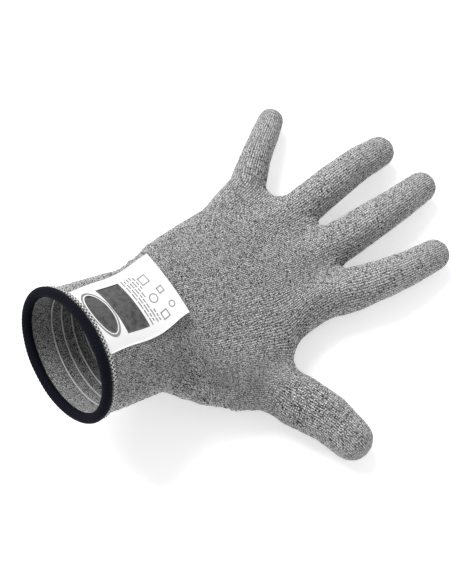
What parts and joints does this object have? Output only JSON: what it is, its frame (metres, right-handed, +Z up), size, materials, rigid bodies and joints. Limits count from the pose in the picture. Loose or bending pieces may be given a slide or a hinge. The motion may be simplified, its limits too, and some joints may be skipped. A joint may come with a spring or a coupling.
{
  "type": "knitted cut-resistant glove",
  "caption": "Seamless knitted cut-resistant work glove for the left hand, fingers spread, with a bound cuff hem and a stitched label.",
  "frame": {"origin": "centre of the flat underside of the palm, where the glove rests on a bench", "axes": "+X along the hand to the fingertips, +Y to the little finger, +Z up out of the back of the hand"},
  "size_m": [0.2423, 0.1994, 0.0828],
  "materials": {
    "knit_grey": "heather grey jersey knit of cut-resistant yarn",
    "hem_navy": "dark navy overlocked binding, rolled",
    "thread_white": "white overlock thread",
    "satin_white": null,
    "elastic_white": "covered elastic yarn"
  },
  "bodies": {
    "palm": {"palm_upper": "knit_grey", "palm_lower": "knit_grey", "middle_root": "knit_grey"},
    "little_root": {"little_root": "knit_grey"},
    "little_proximal": {"little_proximal": "knit_grey"},
    "little_middle": {"little_middle": "knit_grey"},
    "little_distal": {"little_distal": "knit_grey"},
    "ring_root": {"ring_root": "knit_grey"},
    "ring_proximal": {"ring_proximal": "knit_grey"},
    "ring_middle": {"ring_middle": "knit_grey"},
    "ring_distal": {"ring_distal": "knit_grey"},
    "middle_proximal": {"middle_proximal": "knit_grey"},
    "middle_middle": {"middle_middle": "knit_grey"},
    "middle_distal": {"middle_distal": "knit_grey"},
    "index_root": {"index_root": "knit_grey"},
    "index_proximal": {"index_proximal": "knit_grey"},
    "index_middle": {"index_middle": "knit_grey"},
    "index_distal": {"index_distal": "knit_grey"},
    "thumb_root": {"thumb_root": "knit_grey"},
    "thumb_proximal": {"thumb_proximal": "knit_grey"},
    "thumb_distal": {"thumb_distal": "knit_grey"},
    "cuff": {"wrist_cuff": "knit_grey", "cuff_hem": "hem_navy", "overlock_chain": "thread_white", "cuff_elastic_yarn": "elastic_white"},
    "label": {"label": "satin_white"}
  },
  "joints": [
    {"name": "little_spread", "type": "hinge", "parent": "palm", "child": "little_root", "pos_m": [0.0302, 0.0506, 0.0125], "axis": [0, 0, 1], "range_deg": [-28, 4]},
    {"name": "little_mcp", "type": "hinge", "parent": "little_root", "child": "little_proximal", "pos_m": [0.03513, 0.0552, 0.01338], "axis": [-0.682, 0.7314, 0], "range_deg": [-12, 50]},
    {"name": "little_pip", "type": "hinge", "parent": "little_proximal", "child": "little_middle", "pos_m": [0.04137, 0.06101, 0.0145], "axis": [-0.6691, 0.7432, 0], "range_deg": [0, 46]},
    {"name": "little_dip", "type": "hinge", "parent": "little_middle", "child": "little_distal", "pos_m": [0.05365, 0.07169, 0.0125], "axis": [-0.6625, 0.749, 0], "range_deg": [0, 30]},
    {"name": "ring_spread", "type": "hinge", "parent": "palm", "child": "ring_root", "pos_m": [0.0469, 0.0227, 0.013], "axis": [0, 0, 1], "range_deg": [-8, 6]},
    {"name": "ring_mcp", "type": "hinge", "parent": "ring_root", "child": "ring_proximal", "pos_m": [0.05473, 0.02394, 0.01406], "axis": [-0.1564, 0.9877, 0], "range_deg": [-12, 65]},
    {"name": "ring_pip", "type": "hinge", "parent": "ring_proximal", "child": "ring_middle", "pos_m": [0.06902, 0.0262, 0.016], "axis": [-0.1737, 0.9848, 0], "range_deg": [0, 65]},
    {"name": "ring_dip", "type": "hinge", "parent": "ring_middle", "child": "ring_distal", "pos_m": [0.08905, 0.0301, 0.014], "axis": [-0.1654, 0.9862, 0], "range_deg": [0, 35]},
    {"name": "middle_mcp", "type": "hinge", "parent": "palm", "child": "middle_proximal", "pos_m": [0.05922, -0.00496, 0.0145], "axis": [-0.0175, 0.9998, 0], "range_deg": [-12, 65]},
    {"name": "middle_pip", "type": "hinge", "parent": "middle_proximal", "child": "middle_middle", "pos_m": [0.07299, -0.00472, 0.0164], "axis": [-0.0699, 0.9976, 0], "range_deg": [0, 65]},
    {"name": "middle_dip", "type": "hinge", "parent": "middle_middle", "child": "middle_distal", "pos_m": [0.09264, -0.00231, 0.0144], "axis": [-0.1561, 0.9877, 0], "range_deg": [0, 35]},
    {"name": "index_spread", "type": "hinge", "parent": "palm", "child": "index_root", "pos_m": [0.041, -0.0319, 0.0134], "axis": [0, 0, 1], "range_deg": [-6, 11]},
    {"name": "index_mcp", "type": "hinge", "parent": "index_root", "child": "index_proximal", "pos_m": [0.04734, -0.03348, 0.01435], "axis": [0.2419, 0.9703, 0], "range_deg": [-12, 60]},
    {"name": "index_pip", "type": "hinge", "parent": "index_proximal", "child": "index_middle", "pos_m": [0.05828, -0.03621, 0.016], "axis": [0.1563, 0.9877, 0], "range_deg": [0, 48]},
    {"name": "index_dip", "type": "hinge", "parent": "index_middle", "child": "index_distal", "pos_m": [0.07593, -0.03744, 0.014], "axis": [0.0095, 1, 0], "range_deg": [0, 30]},
    {"name": "thumb_swing", "type": "hinge", "parent": "palm", "child": "thumb_root", "pos_m": [-0.019, -0.0629, 0.0155], "axis": [0, 0, 1], "range_deg": [-12, 25]},
    {"name": "thumb_mp", "type": "hinge", "parent": "thumb_root", "child": "thumb_proximal", "pos_m": [-0.0131, -0.07312, 0.0155], "axis": [0.5803, 0.2797, 0.7649], "range_deg": [-8, 35]},
    {"name": "thumb_ip", "type": "hinge", "parent": "thumb_proximal", "child": "thumb_distal", "pos_m": [-0.00655, -0.08494, 0.014], "axis": [0.63, 0.1631, 0.7592], "range_deg": [-5, 50]},
    {"name": "wrist_flex", "type": "hinge", "parent": "palm", "child": "cuff", "pos_m": [-0.055, -0.006, 0.028], "axis": [-0.0523, 0.9986, 0], "range_deg": [-50, 16]},
    {"name": "label_lift", "type": "hinge", "parent": "cuff", "child": "label", "pos_m": [-0.08687, -0.00681, 0.07871], "axis": [0.0523, -0.9986, 0], "range_deg": [0, 150]}
  ]
}
